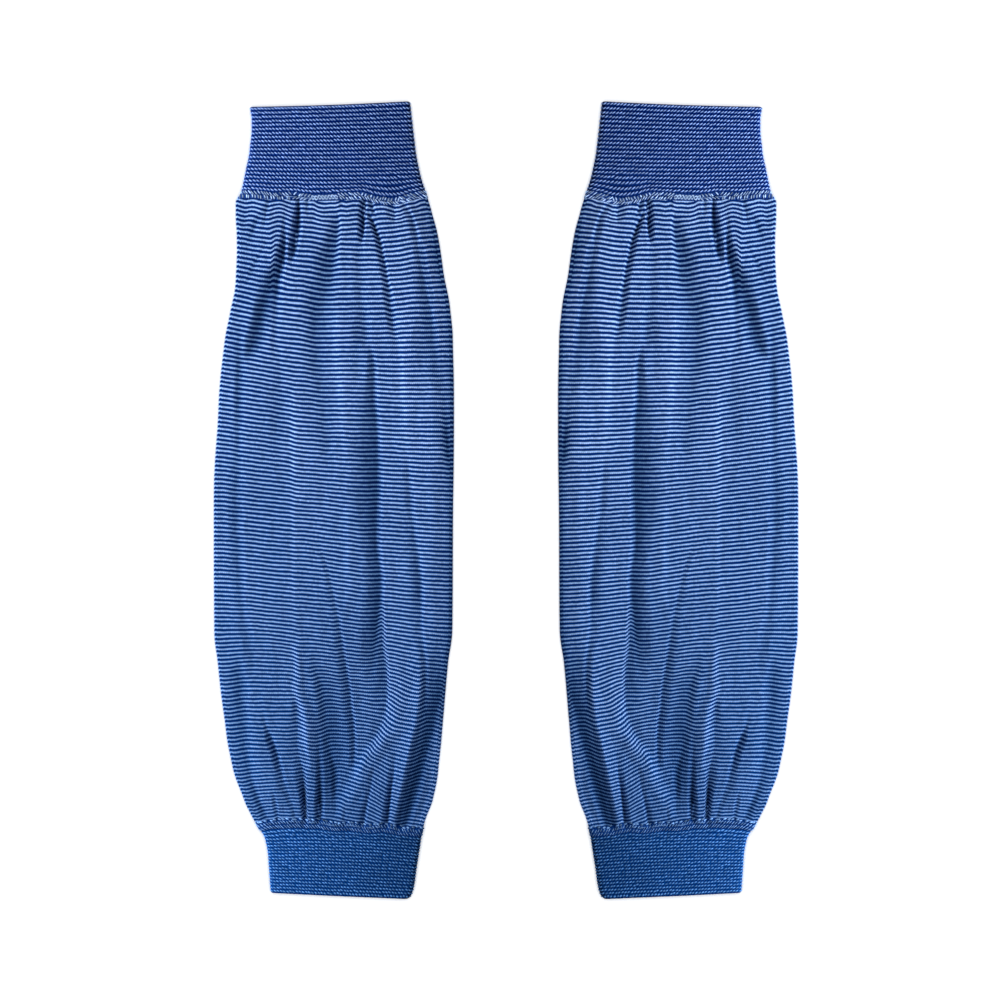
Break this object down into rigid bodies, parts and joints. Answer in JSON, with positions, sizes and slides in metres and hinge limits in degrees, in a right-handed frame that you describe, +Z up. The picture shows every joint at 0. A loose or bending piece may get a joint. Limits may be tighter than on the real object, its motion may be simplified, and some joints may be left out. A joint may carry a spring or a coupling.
{
  "type": "pair of arm sleeves",
  "caption": "Knitted arm sleeves laid flat, fine-striped tubes gathered into wide upper cuffs and narrow wrist cuffs.",
  "frame": {"origin": "on the surface that the sleeves lie on, in the middle of the pair", "axes": "+Y along the sleeves towards their wide upper cuffs, +X towards the right sleeve, +Z up from the surface"},
  "size_m": [0.3066, 0.4189, 0.0067],
  "materials": {
    "upper_cuff_knit": "close two-tone knit, matte",
    "striped_knit": "fine striped jersey, matte",
    "lower_cuff_knit": "close two-tone knit, matte"
  },
  "bodies": {
    "root": {"left_upper_cuff": "upper_cuff_knit", "left_sleeve_tube": "striped_knit", "left_lower_cuff": "lower_cuff_knit", "right_upper_cuff": "upper_cuff_knit", "right_sleeve_tube": "striped_knit", "right_lower_cuff": "lower_cuff_knit"}
  },
  "joints": []
}
